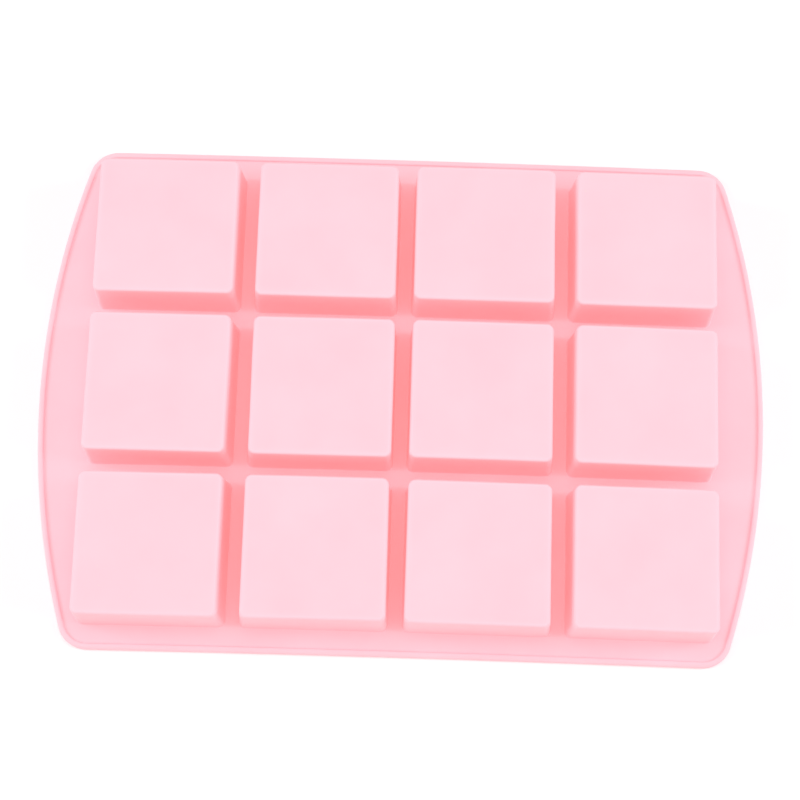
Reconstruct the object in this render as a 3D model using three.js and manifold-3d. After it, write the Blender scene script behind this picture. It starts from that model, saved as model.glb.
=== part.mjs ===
// A flexible silicone tray mould for square soap bars: four columns and three rows of cavities hang
// from one thin sheet, and a rounded bead stiffens the edge of the sheet.
//
// The tray lies upside down, resting on its mouth side. The sheet's mouth face is the plane Z = 0, the
// outsides of the cavity floors face up, X runs along the four columns and Y along the three rows.
// The origin is the centre of the mouth face. Every length is in millimetres.
//
// The tray is one moulding. Its regions are separate solids that meet on the sheet's upper face
// without a gap: the sheet is below that plane, and the bead and the cavities stand on it.

import * as THREE from 'three';
import { mergeVertices } from 'three/addons/utils/BufferGeometryUtils.js';
import Module from 'manifold-3d';

// --- driving dimensions ------------------------------------------------------------------------

const COLUMNS = 4;
const ROWS = 3;
const COLUMN_PITCH = 70;
const ROW_PITCH = 70.5;

const TRAY_HALF_LENGTH = 160;
const TRAY_HALF_WIDTH = 113;
const TRAY_HEIGHT = 27;
const END_ARC_RADIUS = 355;
const TRAY_CORNER_RADIUS = 13;

const SHEET_THICKNESS = 2;
const BEAD_WIDTH = 2.6;
const BEAD_HEIGHT = 1;
const BEAD_ROUND = 0.8;

const CAVITY_OUTER_WIDTH = 63.7;
const CAVITY_CORNER_RADIUS = 3;
const DRAFT_ANGLE = THREE.MathUtils.degToRad(3);
const WALL_THICKNESS = 1.6;
const FLOOR_THICKNESS = 2;
const FLOOR_EDGE_ROUND = 1;

// How finely round stretches are divided.
const TRAY_CORNER_STEPS = 8;
const END_ARC_STEPS = 14;
const CAVITY_CORNER_STEPS = 4;
const ROUND_EDGE_STEPS = 3;

// Tools that cut a solid reach this far past the face that they open.
const CUT_MARGIN = 3;

const SILICONE_PINK = '#ffb7c5';

// --- outlines ----------------------------------------------------------------------------------

/** Points along an arc, both ends included. Angles are in radians, anticlockwise from +X. */
function arcPoints(centreX, centreY, radius, fromAngle, toAngle, steps) {
  return Array.from({ length: steps + 1 }, (_, step) => {
    const angle = THREE.MathUtils.lerp(fromAngle, toAngle, step / steps);
    return new THREE.Vector2(centreX + radius * Math.cos(angle), centreY + radius * Math.sin(angle));
  });
}

/** Drops each point that coincides with the one after it, as where one arc runs on into the next. */
function withoutRepeats(points) {
  const smallestStep = 1e-4;
  return points.filter((point, index) => {
    const next = points[(index + 1) % points.length];
    return point.distanceTo(next) > smallestStep;
  });
}

/**
 * The tray's outline, moved inwards by `inset`: straight long sides, ends that bow outwards, and
 * round corners that are tangent to both.
 */
function trayOutline(inset = 0) {
  const cornerRadius = TRAY_CORNER_RADIUS - inset;
  const endRadius = END_ARC_RADIUS - inset;
  const endCentreX = TRAY_HALF_LENGTH - END_ARC_RADIUS;
  const cornerY = TRAY_HALF_WIDTH - TRAY_CORNER_RADIUS;
  const cornerX = endCentreX + Math.sqrt((END_ARC_RADIUS - TRAY_CORNER_RADIUS) ** 2 - cornerY ** 2);
  const joinAngle = Math.atan2(cornerY, cornerX - endCentreX);
  const quarterTurn = Math.PI / 2;

  const rightEnd = [
    ...arcPoints(cornerX, -cornerY, cornerRadius, -quarterTurn, -joinAngle, TRAY_CORNER_STEPS),
    ...arcPoints(endCentreX, 0, endRadius, -joinAngle, joinAngle, END_ARC_STEPS),
    ...arcPoints(cornerX, cornerY, cornerRadius, joinAngle, quarterTurn, TRAY_CORNER_STEPS),
  ];
  const leftEnd = rightEnd.map((point) => point.clone().negate());
  return withoutRepeats([...rightEnd, ...leftEnd]);
}

/** A square with round corners, centred on the origin. */
function roundedSquare(halfWidth, cornerRadius) {
  const reach = halfWidth - cornerRadius;
  const quarterTurn = Math.PI / 2;
  const corners = [[1, 1], [-1, 1], [-1, -1], [1, -1]];
  return corners.flatMap(([sideX, sideY], index) => arcPoints(
    sideX * reach,
    sideY * reach,
    cornerRadius,
    index * quarterTurn,
    (index + 1) * quarterTurn,
    CAVITY_CORNER_STEPS,
  ));
}

// --- solids ------------------------------------------------------------------------------------

const wasm = await Module();
wasm.setup();

/** Turns a closed geometry into a solid that can be cut and joined. */
function toSolid(geometry) {
  const bare = geometry.clone();
  bare.deleteAttribute('normal');
  bare.deleteAttribute('uv');
  const merged = mergeVertices(bare);
  return new wasm.Manifold(new wasm.Mesh({
    numProp: 3,
    vertProperties: merged.attributes.position.array,
    triVerts: merged.index.array,
  }));
}

/** Turns a solid back into a geometry with flat faces. */
function toGeometry(solid) {
  const mesh = solid.getMesh();
  const indexed = new THREE.BufferGeometry();
  indexed.setAttribute('position', new THREE.BufferAttribute(mesh.vertProperties, 3));
  indexed.setIndex(new THREE.BufferAttribute(mesh.triVerts, 1));
  const geometry = indexed.toNonIndexed();
  geometry.computeVertexNormals();
  return geometry;
}

/** Everything between two heights, wider than the tray. */
function slab(lowZ, highZ) {
  const box = new THREE.BoxGeometry(
    2 * (TRAY_HALF_LENGTH + CUT_MARGIN),
    2 * (TRAY_HALF_WIDTH + CUT_MARGIN),
    highZ - lowZ,
  );
  box.translate(0, 0, (lowZ + highZ) / 2);
  return toSolid(box);
}

/** An outline raised from one height to another, with an optional round on its upper edges. */
function raisedOutline(shape, lowZ, highZ, edgeRound = 0) {
  const geometry = new THREE.ExtrudeGeometry(shape, {
    depth: highZ - lowZ - 2 * edgeRound,
    bevelEnabled: edgeRound > 0,
    bevelThickness: edgeRound,
    bevelSize: edgeRound,
    bevelOffset: -edgeRound,
    bevelSegments: ROUND_EDGE_STEPS,
  });
  geometry.translate(0, 0, lowZ + edgeRound);
  return geometry;
}

/**
 * A square block with round corners, whose sides lean inwards with height by the draft angle. Its
 * width is the one given where it crosses the sheet's upper face.
 */
function draftedBlock(width, cornerRadius, lowZ, highZ, edgeRound = 0) {
  const shape = new THREE.Shape(roundedSquare(width / 2, cornerRadius));
  const geometry = raisedOutline(shape, lowZ, highZ, edgeRound);
  const position = geometry.attributes.position;
  for (let index = 0; index < position.count; index += 1) {
    const lean = Math.tan(DRAFT_ANGLE) * (position.getZ(index) - SHEET_THICKNESS);
    position.setX(index, position.getX(index) - Math.sign(position.getX(index)) * lean);
    position.setY(index, position.getY(index) - Math.sign(position.getY(index)) * lean);
  }
  return toSolid(geometry);
}

/** The space that one bar fills, from below the mouth face up to the cavity floor. */
function barSpace() {
  return draftedBlock(
    CAVITY_OUTER_WIDTH - 2 * WALL_THICKNESS,
    CAVITY_CORNER_RADIUS - WALL_THICKNESS,
    -CUT_MARGIN,
    TRAY_HEIGHT - FLOOR_THICKNESS,
  );
}

/** One cavity's four walls and floor, above the sheet. */
function cavity() {
  const block = draftedBlock(
    CAVITY_OUTER_WIDTH,
    CAVITY_CORNER_RADIUS,
    SHEET_THICKNESS - CUT_MARGIN,
    TRAY_HEIGHT,
    FLOOR_EDGE_ROUND,
  );
  return block.subtract(barSpace()).subtract(slab(-2 * CUT_MARGIN, SHEET_THICKNESS));
}

/** The flat sheet between and around the cavities, open at each cavity's mouth. */
function sheet(cavityCentres) {
  const plate = raisedOutline(new THREE.Shape(trayOutline()), 0, SHEET_THICKNESS);
  const bar = barSpace();
  return cavityCentres.reduce(
    (rest, { x, y }) => rest.subtract(bar.translate([x, y, 0])),
    toSolid(plate),
  );
}

/** The rounded bead that runs round the edge of the sheet, on its upper face. */
function edgeBead() {
  const ring = new THREE.Shape(trayOutline());
  ring.holes.push(new THREE.Path(trayOutline(BEAD_WIDTH)));
  const lowZ = SHEET_THICKNESS - CUT_MARGIN;
  const raised = raisedOutline(ring, lowZ, SHEET_THICKNESS + BEAD_HEIGHT, BEAD_ROUND);
  return toSolid(raised).subtract(slab(-2 * CUT_MARGIN, SHEET_THICKNESS));
}

// --- the tray ----------------------------------------------------------------------------------

const tray = new THREE.Group();

function addPiece(name, solid, x = 0, y = 0) {
  const material = new THREE.MeshStandardMaterial({ color: SILICONE_PINK, roughness: 0.55, metalness: 0 });
  const mesh = new THREE.Mesh(toGeometry(solid), material);
  mesh.name = name;
  mesh.position.set(x, y, 0);
  tray.add(mesh);
}

// Rows are counted from the far side (+Y) towards the near one, columns from -X towards +X.
const cavityCentres = [];
for (let row = 0; row < ROWS; row += 1) {
  for (let column = 0; column < COLUMNS; column += 1) {
    cavityCentres.push({
      name: `cavity_row${row + 1}_column${column + 1}`,
      x: (column - (COLUMNS - 1) / 2) * COLUMN_PITCH,
      y: ((ROWS - 1) / 2 - row) * ROW_PITCH,
    });
  }
}

addPiece('connecting_sheet', sheet(cavityCentres));
addPiece('edge_bead', edgeBead());
cavityCentres.forEach(({ name, x, y }) => addPiece(name, cavity(), x, y));

export default tray;
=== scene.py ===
"""The looks of a flexible silicone tray mould for twelve square soap bars, lying mouth side down.

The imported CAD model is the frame: it gives the tray's size, the sheet's and the bead's heights and
the place of each cavity. Each region of the one moulding is built here again as a fine closed mesh
of its own: the edge bead, the sheet and the twelve cavities. They share their seam points, and the
sheet's two faces run straight across each seam, so that the tray looks like the one piece it is.
"""

import math
import random

import bpy
from mathutils import Euler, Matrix, Quaternion, Vector, geometry, noise


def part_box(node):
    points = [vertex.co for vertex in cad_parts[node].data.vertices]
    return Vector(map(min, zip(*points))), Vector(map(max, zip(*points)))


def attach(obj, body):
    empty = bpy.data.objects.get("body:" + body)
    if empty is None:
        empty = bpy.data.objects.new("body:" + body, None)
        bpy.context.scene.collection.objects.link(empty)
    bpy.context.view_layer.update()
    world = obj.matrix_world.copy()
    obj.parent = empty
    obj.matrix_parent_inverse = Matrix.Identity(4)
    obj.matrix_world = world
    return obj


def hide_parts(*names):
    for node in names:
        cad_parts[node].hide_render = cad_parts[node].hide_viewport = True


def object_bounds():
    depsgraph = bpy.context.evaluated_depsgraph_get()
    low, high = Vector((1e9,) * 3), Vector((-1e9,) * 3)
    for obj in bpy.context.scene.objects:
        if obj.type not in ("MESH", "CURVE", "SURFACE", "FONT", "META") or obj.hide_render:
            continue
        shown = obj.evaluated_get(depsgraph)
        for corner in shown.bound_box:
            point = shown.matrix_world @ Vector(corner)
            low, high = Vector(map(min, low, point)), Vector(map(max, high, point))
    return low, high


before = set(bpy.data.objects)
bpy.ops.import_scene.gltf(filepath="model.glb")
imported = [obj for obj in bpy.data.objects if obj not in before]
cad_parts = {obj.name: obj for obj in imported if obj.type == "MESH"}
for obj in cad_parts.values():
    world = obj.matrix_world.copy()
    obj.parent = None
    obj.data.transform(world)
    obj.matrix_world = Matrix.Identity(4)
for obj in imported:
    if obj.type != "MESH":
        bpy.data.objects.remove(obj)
cad_low, cad_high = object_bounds()

MM = 0.001
QUARTER_TURN = math.pi / 2

# --- sizes from the frame ---------------------------------------------------------------------

SHEET_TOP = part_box("connecting_sheet")[1].z
BEAD_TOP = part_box("edge_bead")[1].z
TRAY_TOP = cad_high.z
HALF_LENGTH = cad_high.x
HALF_WIDTH = cad_high.y
CAVITY_NODES = sorted(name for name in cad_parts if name.startswith("cavity_"))
CAVITY_HALF = (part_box(CAVITY_NODES[0])[1].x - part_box(CAVITY_NODES[0])[0].x) / 2
COLUMN_PITCH = (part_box(CAVITY_NODES[1])[1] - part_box(CAVITY_NODES[0])[1]).x

# --- sizes that a box doesn't give, the same as in the CAD source -------------------------------

END_ARC_RADIUS = 355 * MM
TRAY_CORNER_RADIUS = 13 * MM
BEAD_WIDTH = 2.6 * MM
CAVITY_CORNER_RADIUS = 3 * MM
WALL_THICKNESS = 1.6 * MM
FLOOR_THICKNESS = 2 * MM
DRAFT = math.tan(math.radians(3))

# --- fine shape ---------------------------------------------------------------------------------

FLOOR_EDGE_ROUND = 1.0 * MM
BAR_EDGE_ROUND = 0.8 * MM
WALL_FOOT_FILLET = 0.5 * MM
MOUTH_ROUND = 0.5 * MM
SHEET_EDGE_ROUND = 0.4 * MM
BEAD_OUTER_ROUND = 1.5 * MM
BEAD_INNER_ROUND = 0.65 * MM
BEAD_FOOT_FILLET = 0.3 * MM
CAVITY_SEAM = 1.0 * MM        # the flat ring of sheet that belongs to each cavity's piece
BEAD_SEAM = 1.0 * MM          # the flat strip of sheet that belongs to the bead's piece
BEAD_PIECE_WIDTH = BEAD_WIDTH + BEAD_FOOT_FILLET + BEAD_SEAM

# How a soft tray departs from its drawing.
FLOOR_SAG = 0.25 * MM         # the middle of a cavity floor, below its edge
COLUMN_LEAN = 0.4 * MM        # inner columns lean inwards and outer columns outwards, at the top
CAVITY_SHIFT = 0.2 * MM       # the most that one cavity's top is off its place by itself
CAVITY_TWIST = math.radians(0.2)
WALL_WAVE = 0.12 * MM
WALL_WAVE_LENGTH = 28 * MM
WALL_WAVE_RISE = 3            # the wave is at its full depth a third of the way up the wall
SHEET_LIFT = 0.35 * MM        # the most that the sheet stands clear of the floor
SHEET_LIFT_LENGTH = 110 * MM
SHEET_LIFT_PATTERN = Vector((3.7, 1.3, 0.5))   # the part of the noise that the lift follows
TRAY_BEND = 0.9 * MM          # the tray's ends lie this far nearer than its middle

# How finely each stretch is divided.
CORNER_STEPS = 10
SIDE_STEPS = 10
ROUND_STEPS = 5
WALL_STEPS = 5
FLOOR_STEPS = 8
TRAY_CORNER_STEPS = 16
END_ARC_STEPS = 48
LONG_SIDE_STEPS = 64
SHEET_GRID = 5 * MM
SHEET_GRID_CLEAR = SHEET_GRID / 3
SAME_PLACE = 1e-7
SHARP_EDGE = math.radians(50)

# --- camera and light -----------------------------------------------------------------------------

CAMERA_TARGET = Vector((-0.73 * MM, -5.15 * MM, TRAY_TOP))
CAMERA_DISTANCE = 0.8066
CAMERA_ELEVATION = math.radians(76.46)
CAMERA_ROLL = math.radians(1.76)
CAMERA_LENS = 84.6
CAMERA_SENSOR = 36.0

# Each softbox: where it hangs, its width and its depth, in metres, and its power in watts.
OVERHEAD_SOFTBOX = ((0, 0, 1.4), 0.9, 0.7, 3.9)
LEFT_SOFTBOX = ((-1.2, 0, 0.7), 0.7, 0.5, 6.2)
RIGHT_SOFTBOX = ((1.2, 0, 0.7), 0.7, 0.5, 6.2)
FRONT_SOFTBOX = ((0, -1.3, 0.25), 0.9, 0.3, 0.8)
SKY_STRENGTH = 0.65
LIGHT_BOUNCES = 16            # light goes to and fro many times in the gaps between the cavities

STAGE_HALF = 4.0
STAGE_WHITE = (0.95, 0.95, 0.95, 1)
STAGE_ROUGHNESS = 0.9

# --- silicone's colour, painted highlight, painted glow, grain and dust -----------------------------

PINK_DEEP = (0.97, 0.49, 0.585, 1)
PINK_PALE = (0.97, 0.52, 0.615, 1)
EDGE_HIGHLIGHT_PINK = (0.97, 0.53, 0.63, 1)     # a painted highlight: the round edges of the floors are drawn paler, as if they caught the light
EDGE_HIGHLIGHT_FALL = 4.0                       # how steeply that fades into the floor
# Painted glow: the silicone is given a faint, even emission of its own. It stands in for the light that
# scatters inside the soft walls and comes out everywhere about evenly.
PAINTED_GLOW_COLOUR = (1.0, 0.64, 0.43, 1)
PAINTED_GLOW_STRENGTH = 0.134
SILICONE_IOR = 1.41
ROUGHNESS = (0.5, 0.65)
NOISE_LOW, NOISE_HIGH = 0.3, 0.7      # noise seldom leaves this span
CLOUD_SIZE = 30 * MM
RIPPLE_SIZE = 9 * MM
RIPPLE_DEPTH = 0.04 * MM
GRAIN_SIZE = 0.35 * MM
GRAIN_DEPTH = 0.01 * MM
DUST_SPACING = 7 * MM
DUST_RADIUS = 0.03            # of the spacing
DUST_FADE = 1.6               # a speck has faded out at this many radii
DUST_SHARE = 0.25             # of the places where a speck could lie
DUST_COLOUR = (0.80, 0.55, 0.58, 1)

rng = random.Random(12)


# --- mesh helpers ---------------------------------------------------------------------------------

def arc(centre, radius, start, end, steps):
    """Points along an arc in a plane, both ends included."""
    points = []
    for step in range(steps + 1):
        angle = start + (end - start) * step / steps
        points.append((centre[0] + radius * math.cos(angle), centre[1] + radius * math.sin(angle)))
    return points


def square_ring(half, radius):
    """Points anticlockwise round a square with round corners, in a plane, centred on the origin."""
    reach = half - radius
    ring = []
    for index, (side_x, side_y) in enumerate(((1, 1), (-1, 1), (-1, -1), (1, -1))):
        start = index * QUARTER_TURN
        centre = (side_x * reach, side_y * reach)
        ring += arc(centre, radius, start, start + QUARTER_TURN, CORNER_STEPS)
        corner_x, corner_y = ring[-1]
        along = start + 2 * QUARTER_TURN
        for step in range(1, SIDE_STEPS):
            travel = 2 * reach * step / SIDE_STEPS
            ring.append((corner_x + math.cos(along) * travel, corner_y + math.sin(along) * travel))
    return ring


class Outline:
    """The tray's outline, as points that each know their way inwards."""

    def __init__(self):
        end_centre = HALF_LENGTH - END_ARC_RADIUS
        corner_y = HALF_WIDTH - TRAY_CORNER_RADIUS
        corner_x = end_centre + math.sqrt((END_ARC_RADIUS - TRAY_CORNER_RADIUS) ** 2 - corner_y ** 2)
        join = math.atan2(corner_y, corner_x - end_centre)
        right = [
            *self.stretch(corner_x, -corner_y, TRAY_CORNER_RADIUS, -QUARTER_TURN, -join, TRAY_CORNER_STEPS),
            *self.stretch(end_centre, 0, END_ARC_RADIUS, -join, join, END_ARC_STEPS)[1:-1],
            *self.stretch(corner_x, corner_y, TRAY_CORNER_RADIUS, join, QUARTER_TURN, TRAY_CORNER_STEPS),
        ]
        far_side = self.straight(right[-1], -2 * corner_x)
        left = [(-x, -y, -out_x, -out_y) for x, y, out_x, out_y in right]
        near_side = self.straight(left[-1], 2 * corner_x)
        self.points = [*right, *far_side, *left, *near_side]

    @staticmethod
    def stretch(centre_x, centre_y, radius, start, end, steps):
        """(x, y, outward x, outward y) along an arc."""
        outward = arc((0, 0), 1, start, end, steps)
        return [(centre_x + radius * x, centre_y + radius * y, x, y) for x, y in outward]

    @staticmethod
    def straight(start, travel):
        """The points between the two ends of a long side."""
        x, y, out_x, out_y = start
        steps = range(1, LONG_SIDE_STEPS)
        return [(x + travel * step / LONG_SIDE_STEPS, y, out_x, out_y) for step in steps]

    def inset(self, distance):
        """The outline moved inwards by that distance, as points in a plane."""
        return [(x - out_x * distance, y - out_y * distance) for x, y, out_x, out_y in self.points]


def at_height(ring, z):
    return [Vector((x, y, z)) for x, y in ring]


def rings_to_faces(ring_count, size):
    """Quads between neighbouring rings of the same number of points, and from the last to the first."""
    faces = []
    for ring in range(ring_count):
        low, high = ring * size, ((ring + 1) % ring_count) * size
        for index in range(size):
            after = (index + 1) % size
            faces.append((low + index, low + after, high + after, high + index))
    return faces


def add_piece(name, points, faces, material, *nodes):
    """Makes a mesh piece that stands for those CAD nodes and is part of the one body."""
    mesh = bpy.data.meshes.new(name)
    mesh.from_pydata([tuple(settled(point)) for point in points], [], faces)
    mesh.validate()
    mesh.shade_smooth()
    mesh.set_sharp_from_angle(angle=SHARP_EDGE)
    mesh.materials.append(material)
    piece = bpy.data.objects.new(name, mesh)
    bpy.context.scene.collection.objects.link(piece)
    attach(piece, "root")
    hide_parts(*nodes)
    return piece


def settled(point):
    """Where a point of the tray comes to lie: the soft tray is bent a little and not quite flat.

    The lift goes from 0 to SHEET_LIFT. The bend moves the middle away and the ends nearer, by half each.
    """
    place = Vector((point.x, point.y, 0)) / SHEET_LIFT_LENGTH
    lift = SHEET_LIFT * (0.5 + 0.5 * noise.noise(place + SHEET_LIFT_PATTERN))
    bend = TRAY_BEND * (0.5 - (point.x / HALF_LENGTH) ** 2)
    return Vector((point.x, point.y + bend, point.z + lift))


# --- the edge bead ----------------------------------------------------------------------------------

def bead_profile():
    """(distance inwards, height) round the bead's section and the strip of sheet under it."""
    outer = BEAD_OUTER_ROUND
    inner = BEAD_INNER_ROUND
    foot = BEAD_FOOT_FILLET
    edge = SHEET_EDGE_ROUND
    foot_x = BEAD_WIDTH + foot
    return [
        *arc((edge, edge), edge, -QUARTER_TURN, -2 * QUARTER_TURN, ROUND_STEPS),
        *arc((outer, BEAD_TOP - outer), outer, 2 * QUARTER_TURN, QUARTER_TURN, ROUND_STEPS),
        *arc((BEAD_WIDTH - inner, BEAD_TOP - inner), inner, QUARTER_TURN, 0, ROUND_STEPS),
        *arc((foot_x, SHEET_TOP + foot), foot, 2 * QUARTER_TURN, 3 * QUARTER_TURN, ROUND_STEPS),
        (BEAD_PIECE_WIDTH, SHEET_TOP),
        (BEAD_PIECE_WIDTH, 0),
    ]


def build_edge_bead(outline, material):
    rings = [at_height(outline.inset(inwards), z) for inwards, z in bead_profile()]
    points = [point for ring in rings for point in ring]
    faces = rings_to_faces(len(rings), len(rings[0]))
    add_piece("edge_bead_moulding", points, faces, material, "edge_bead")
    return outline.inset(BEAD_PIECE_WIDTH)


# --- one cavity -------------------------------------------------------------------------------------

def wall_half(z):
    """Half the outside width of a cavity at a height."""
    return CAVITY_HALF - DRAFT * (z - SHEET_TOP)


def cavity_sections():
    """(half width, corner radius, height) of each ring, from the seam up to the edge of the floor."""
    foot = WALL_FOOT_FILLET
    edge = FLOOR_EDGE_ROUND
    sections = [(CAVITY_HALF + CAVITY_SEAM, CAVITY_CORNER_RADIUS + CAVITY_SEAM, SHEET_TOP)]
    foot_half = wall_half(SHEET_TOP + foot) + foot
    for x, z in arc((foot_half, SHEET_TOP + foot), foot, -QUARTER_TURN, -2 * QUARTER_TURN, ROUND_STEPS):
        sections.append((x, CAVITY_CORNER_RADIUS + x - wall_half(z), z))
    low, high = SHEET_TOP + foot, TRAY_TOP - edge
    for step in range(1, WALL_STEPS):
        z = low + (high - low) * step / WALL_STEPS
        sections.append((wall_half(z), CAVITY_CORNER_RADIUS, z))
    edge_half = wall_half(high)
    for x, z in arc((edge_half - edge, high), edge, 0, QUARTER_TURN, ROUND_STEPS):
        sections.append((x, CAVITY_CORNER_RADIUS + x - edge_half, z))
    return sections


def inside_sections():
    """The same for the hollow, from the middle of the floor's inside out to the mouth and the seam."""
    corner = CAVITY_CORNER_RADIUS - WALL_THICKNESS
    floor = TRAY_TOP - FLOOR_THICKNESS
    high = floor - BAR_EDGE_ROUND
    edge_half = wall_half(high) - WALL_THICKNESS
    sections = []
    for x, z in arc((edge_half - BAR_EDGE_ROUND, high), BAR_EDGE_ROUND, QUARTER_TURN, 0, ROUND_STEPS):
        sections.append((x, corner + x - edge_half, z))
    low = MOUTH_ROUND
    for step in range(1, WALL_STEPS):
        z = high + (low - high) * step / WALL_STEPS
        sections.append((wall_half(z) - WALL_THICKNESS, corner, z))
    mouth_half = wall_half(low) - WALL_THICKNESS
    for x, z in arc((mouth_half + low, low), low, 2 * QUARTER_TURN, 3 * QUARTER_TURN, ROUND_STEPS):
        sections.append((x, corner + x - mouth_half, z))
    sections.append((CAVITY_HALF + CAVITY_SEAM, CAVITY_CORNER_RADIUS + CAVITY_SEAM, 0))
    return sections


def floor_sections(edge_half, edge_radius, z):
    """Rings that shrink from the edge of a floor towards its middle, sagging as they go."""
    sections = []
    for step in range(1, FLOOR_STEPS):
        share = 1 - step / FLOOR_STEPS
        sections.append((edge_half * share, edge_radius * share, z - FLOOR_SAG * (1 - share ** 2)))
    return sections


def soft_place(place, centre, lean, twist):
    """Where a point of a cavity comes to lie: the top leans and turns, and the walls wave a little."""
    share = max(0, (place.z - SHEET_TOP) / (TRAY_TOP - SHEET_TOP))
    turn = Vector((-place.y, place.x, 0)) * twist * share
    wave = noise.noise((centre + place) / WALL_WAVE_LENGTH)
    outward = Vector((place.x, place.y, 0)).normalized()
    bulge = outward * (WALL_WAVE * wave * min(1, WALL_WAVE_RISE * share))
    return centre + place + turn + lean * share + bulge


def build_cavity(node, material):
    """One cavity: four drafted walls and a floor, with the ring of sheet round its foot."""
    low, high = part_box(node)
    centre = Vector(((low.x + high.x) / 2, (low.y + high.y) / 2, 0))
    # The sine is 1 or -1 at each column, and its sign changes from one column to the next.
    column_lean = -COLUMN_LEAN * math.sin(math.pi * centre.x / COLUMN_PITCH)
    shift_x = rng.uniform(-CAVITY_SHIFT, CAVITY_SHIFT)
    shift_y = rng.uniform(-CAVITY_SHIFT, CAVITY_SHIFT)
    lean = Vector((column_lean + shift_x, shift_y, 0))
    twist = rng.uniform(-CAVITY_TWIST, CAVITY_TWIST)

    outside = cavity_sections()
    inside = inside_sections()
    outer_floor = floor_sections(outside[-1][0], outside[-1][1], outside[-1][2])
    inner_floor = floor_sections(inside[0][0], inside[0][1], inside[0][2])[::-1]
    sections = [*outside, *outer_floor, *inner_floor, *inside]

    points = []
    for half, radius, z in sections:
        for place in at_height(square_ring(half, radius), z):
            points.append(soft_place(place, centre, lean, twist))

    seam = square_ring(CAVITY_HALF + CAVITY_SEAM, CAVITY_CORNER_RADIUS + CAVITY_SEAM)
    size = len(seam)
    faces = rings_to_faces(len(sections), size)
    # The two floors end in a small ring each: a fan closes it, and no wall joins the two.
    last_outer = len(outside) + len(outer_floor) - 1
    faces = [face for face in faces if not last_outer * size <= face[0] < (last_outer + 1) * size]
    for ring, turn in ((last_outer, 1), (last_outer + 1, -1)):
        start = ring * size
        middle = sum((points[start + index] for index in range(size)), Vector()) / size
        points.append(middle)
        for index in range(size):
            faces.append((start + index, start + (index + 1) % size, len(points) - 1)[::turn])
    piece = add_piece(f"{node}_moulding", points, faces, material, node)
    mark_highlight_rim(piece, len(outside), size)
    return [(centre.x + x, centre.y + y) for x, y in seam]


def mark_highlight_rim(piece, outside_count, size):
    """Writes how far each vertex is up the floor's round edge: 1 on top, 0 on the wall and the floor. This
    places the painted highlight.
    """
    highlight_rim = piece.data.attributes.new("highlight_rim", "FLOAT", "POINT")
    for step in range(1, ROUND_STEPS + 1):
        ring = outside_count - 1 - ROUND_STEPS + step
        for index in range(size):
            highlight_rim.data[ring * size + index].value = step / ROUND_STEPS


# --- the sheet --------------------------------------------------------------------------------------

def build_sheet(edge, openings, material):
    """The flat sheet inside the bead and round the cavities, as a closed plate."""
    loops = [edge, *openings]
    places = [Vector(point) for loop in loops for point in loop]
    borders = []
    start = 0
    for loop in loops:
        borders += [(start + index, start + (index + 1) % len(loop)) for index in range(len(loop))]
        start += len(loop)
    places += sheet_grid(edge, openings)
    flat, _, triangles, *_ = geometry.delaunay_2d_cdt(places, borders, [], 0, SAME_PLACE)

    kept = []
    for corners in triangles:
        middle = sum((flat[corner] for corner in corners), Vector((0, 0))) / 3
        if on_sheet(middle, edge, openings):
            kept.append(tuple(corners))
    count = len(flat)
    points = [*at_height(flat, SHEET_TOP), *at_height(flat, 0)]
    underside = [tuple(count + corner for corner in reversed(corners)) for corners in kept]
    faces = [*kept, *underside, *plate_sides(kept, count)]
    add_piece("connecting_sheet_moulding", points, faces, material, "connecting_sheet")


def plate_sides(triangles, count):
    """Upright faces along each edge that has a triangle on one side only."""
    used = {}
    for a, b, c in triangles:
        for pair in ((a, b), (b, c), (c, a)):
            used[pair] = True
    return [(b, a, count + a, count + b) for a, b in used if (b, a) not in used]


def inside_loop(place, loop):
    """True if a point is inside a closed loop, by counting the edges that lie to the right of it."""
    x, y = place
    inside = False
    for (from_x, from_y), (to_x, to_y) in zip(loop, loop[1:] + loop[:1]):
        if (from_y > y) == (to_y > y):
            continue
        crossing_x = from_x + (to_x - from_x) * (y - from_y) / (to_y - from_y)
        if x < crossing_x:
            inside = not inside
    return inside


def on_sheet(place, edge, openings):
    """True if a point is inside the edge and outside every opening."""
    return inside_loop(place, edge) and not any(inside_loop(place, loop) for loop in openings)


def sheet_grid(edge, openings):
    """Points across the sheet, clear of its edges."""
    columns = int(HALF_LENGTH / SHEET_GRID)
    rows = int(HALF_WIDTH / SHEET_GRID)
    spots = []
    for column in range(-columns, columns + 1):
        for row in range(-rows, rows + 1):
            spot = Vector((column * SHEET_GRID, row * SHEET_GRID))
            gap = min((spot - Vector(point)).length for loop in (edge, *openings) for point in loop)
            if gap > SHEET_GRID_CLEAR and on_sheet(spot, edge, openings):
                spots.append(spot)
    return spots


# --- silicone ---------------------------------------------------------------------------------------

# A Mix node has sockets for numbers, vectors and colours. These are the ones for colours.
MIX_COLOUR_INPUTS = (0, 6, 7)
MIX_COLOUR_OUTPUT = 2


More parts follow.
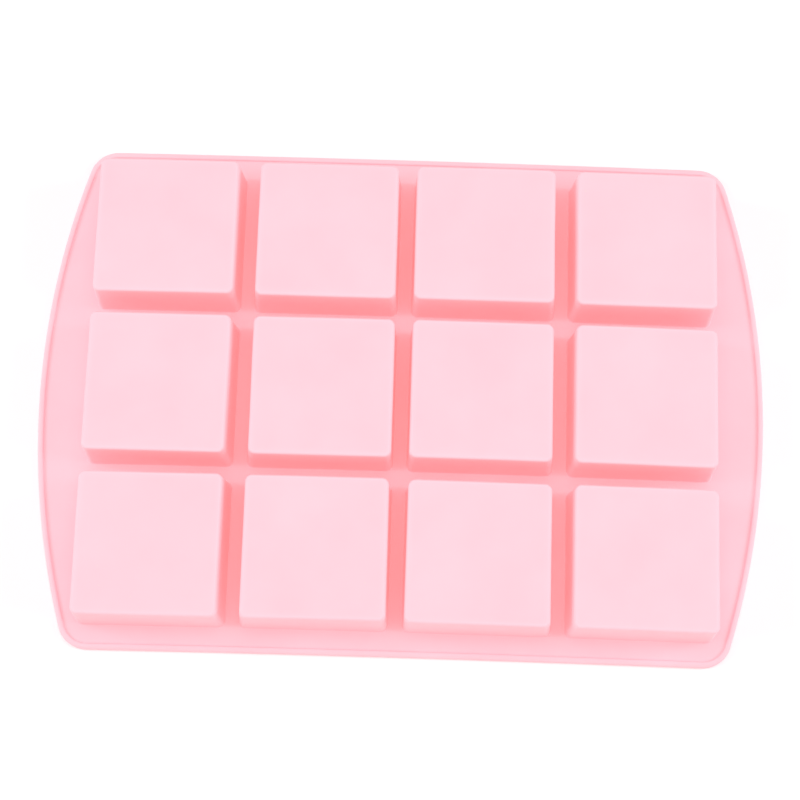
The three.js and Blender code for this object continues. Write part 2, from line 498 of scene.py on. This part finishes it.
class Nodes:
    """A material's node tree, with short calls to add and link nodes."""

    def __init__(self, material):
        self.tree = material.node_tree

    def add(self, kind, values=None, **settings):
        """Adds a node. values sets its inputs: a socket is linked, and anything else is written."""
        node = self.tree.nodes.new(kind)
        for name, setting in settings.items():
            setattr(node, name, setting)
        for name, value in (values or {}).items():
            if isinstance(value, bpy.types.NodeSocket):
                self.tree.links.new(value, node.inputs[name])
            else:
                node.inputs[name].default_value = value
        return node

    def noise(self, place, size, detail=2.0):
        """Noise from 0 to 1, whose blotches are about that size in metres."""
        values = {"Vector": place, "Scale": 1 / size, "Detail": detail}
        return self.add("ShaderNodeTexNoise", values).outputs["Fac"]

    def remap(self, source, low, high, to_low, to_high):
        """Stretches low..high to to_low..to_high, and holds what is outside at the ends."""
        values = {"Value": source, "From Min": low, "From Max": high, "To Min": to_low, "To Max": to_high}
        return self.add("ShaderNodeMapRange", values).outputs["Result"]

    def blend(self, share, first, second):
        """A colour that goes from the first to the second as the share goes from 0 to 1."""
        node = self.add("ShaderNodeMix", data_type="RGBA")
        for index, value in zip(MIX_COLOUR_INPUTS, (share, first, second)):
            if isinstance(value, bpy.types.NodeSocket):
                self.tree.links.new(value, node.inputs[index])
            else:
                node.inputs[index].default_value = value
        return node.outputs[MIX_COLOUR_OUTPUT]

    def bump(self, height, depth, before=None):
        values = {"Height": height, "Distance": depth, "Strength": 1.0}
        if before:
            values["Normal"] = before
        return self.add("ShaderNodeBump", values).outputs["Normal"]


def silicone():
    """Soft matte pink silicone rubber, with a fine grain, a little dust, a painted highlight on the floors'
    round edges and a faint painted glow.
    """
    material = bpy.data.materials.new("pink_silicone")
    material.use_nodes = True
    nodes = Nodes(material)
    place = nodes.add("ShaderNodeTexCoord").outputs["Object"]

    cloud = nodes.noise(place, CLOUD_SIZE, detail=3.0)
    pink = nodes.blend(nodes.remap(cloud, NOISE_LOW, NOISE_HIGH, 0, 1), PINK_DEEP, PINK_PALE)
    # Painted highlight: the floors' round edges are blended to a paler pink, as if they caught the light.
    highlight_rim = nodes.add("ShaderNodeAttribute", attribute_name="highlight_rim").outputs["Fac"]
    edge = nodes.add("ShaderNodeMath", {0: highlight_rim, 1: EDGE_HIGHLIGHT_FALL}, operation="POWER").outputs[0]
    pink = nodes.blend(edge, pink, EDGE_HIGHLIGHT_PINK)
    dots = nodes.add("ShaderNodeTexVoronoi", {"Vector": place, "Scale": 1 / DUST_SPACING})
    inside_dot = nodes.remap(dots.outputs["Distance"], DUST_RADIUS, DUST_RADIUS * DUST_FADE, 1, 0)
    pick = nodes.add("ShaderNodeSeparateColor", {"Color": dots.outputs["Color"]}).outputs["Red"]
    picked = nodes.add("ShaderNodeMath", {0: pick, 1: DUST_SHARE}, operation="LESS_THAN").outputs[0]
    dust = nodes.add("ShaderNodeMath", {0: inside_dot, 1: picked}, operation="MULTIPLY").outputs[0]
    colour = nodes.blend(dust, pink, DUST_COLOUR)

    grain = nodes.noise(place, GRAIN_SIZE, detail=1.0)
    ripple = nodes.noise(place, RIPPLE_SIZE)
    normal = nodes.bump(grain, GRAIN_DEPTH, nodes.bump(ripple, RIPPLE_DEPTH))

    shader = nodes.tree.nodes["Principled BSDF"]
    shader.inputs["IOR"].default_value = SILICONE_IOR
    # Painted glow: a faint emission on the silicone, which is no lamp, stands in for light scattered
    # through the walls.
    shader.inputs["Emission Color"].default_value = PAINTED_GLOW_COLOUR
    shader.inputs["Emission Strength"].default_value = PAINTED_GLOW_STRENGTH
    roughness = nodes.remap(ripple, NOISE_LOW, NOISE_HIGH, *ROUGHNESS)
    nodes.tree.links.new(colour, shader.inputs["Base Color"])
    nodes.tree.links.new(roughness, shader.inputs["Roughness"])
    nodes.tree.links.new(normal, shader.inputs["Normal"])
    return material


# --- the stage --------------------------------------------------------------------------------------

def matte(name, colour):
    material = bpy.data.materials.new(name)
    material.use_nodes = True
    shader = material.node_tree.nodes["Principled BSDF"]
    shader.inputs["Base Color"].default_value = colour
    shader.inputs["Roughness"].default_value = STAGE_ROUGHNESS
    return material


def build_floor():
    """A wide square of pale floor, in the plane that the tray lies on."""
    sides = ((-1, -1), (1, -1), (1, 1), (-1, 1))
    corners = [(STAGE_HALF * side_x, STAGE_HALF * side_y, 0) for side_x, side_y in sides]
    mesh = bpy.data.meshes.new("floor")
    mesh.from_pydata(corners, [], [(0, 1, 2, 3)])
    mesh.materials.append(matte("pale_floor", STAGE_WHITE))
    floor = bpy.data.objects.new("floor", mesh)
    bpy.context.scene.collection.objects.link(floor)


def add_softbox(name, place, width, depth, power):
    """A rectangular area light that faces the middle of the tray."""
    light = bpy.data.lights.new(name, "AREA")
    light.shape = "RECTANGLE"
    light.size = width
    light.size_y = depth
    light.energy = power
    lamp = bpy.data.objects.new(name, light)
    lamp.location = place
    lamp.rotation_mode = "QUATERNION"
    lamp.rotation_quaternion = (-Vector(place)).to_track_quat("-Z", "Y")
    lamp.visible_camera = False
    bpy.context.scene.collection.objects.link(lamp)


def build_lights():
    add_softbox("overhead_softbox", *OVERHEAD_SOFTBOX)
    add_softbox("left_softbox", *LEFT_SOFTBOX)
    add_softbox("right_softbox", *RIGHT_SOFTBOX)
    add_softbox("front_softbox", *FRONT_SOFTBOX)
    world = bpy.data.worlds.new("studio")
    world.use_nodes = True
    background = world.node_tree.nodes["Background"]
    background.inputs["Color"].default_value = (1, 1, 1, 1)
    background.inputs["Strength"].default_value = SKY_STRENGTH
    bpy.context.scene.world = world


def build_camera():
    camera = bpy.data.cameras.new("camera")
    camera.lens = CAMERA_LENS
    camera.sensor_width = CAMERA_SENSOR
    holder = bpy.data.objects.new("camera", camera)
    back = Vector((0, -math.cos(CAMERA_ELEVATION), math.sin(CAMERA_ELEVATION)))
    holder.location = CAMERA_TARGET + back * CAMERA_DISTANCE
    holder.rotation_mode = "QUATERNION"
    level = Euler((QUARTER_TURN - CAMERA_ELEVATION, 0, 0)).to_quaternion()
    holder.rotation_quaternion = level @ Quaternion((0, 0, 1), CAMERA_ROLL)
    bpy.context.scene.collection.objects.link(holder)
    bpy.context.scene.camera = holder


pink = silicone()
tray_outline = Outline()
sheet_edge = build_edge_bead(tray_outline, pink)
seams = [build_cavity(node, pink) for node in CAVITY_NODES]
build_sheet(sheet_edge, seams, pink)
build_floor()
build_lights()
build_camera()
bpy.context.scene.cycles.diffuse_bounces = LIGHT_BOUNCES
bpy.context.scene.cycles.max_bounces = LIGHT_BOUNCES
bpy.context.scene.view_settings.view_transform = "Standard"
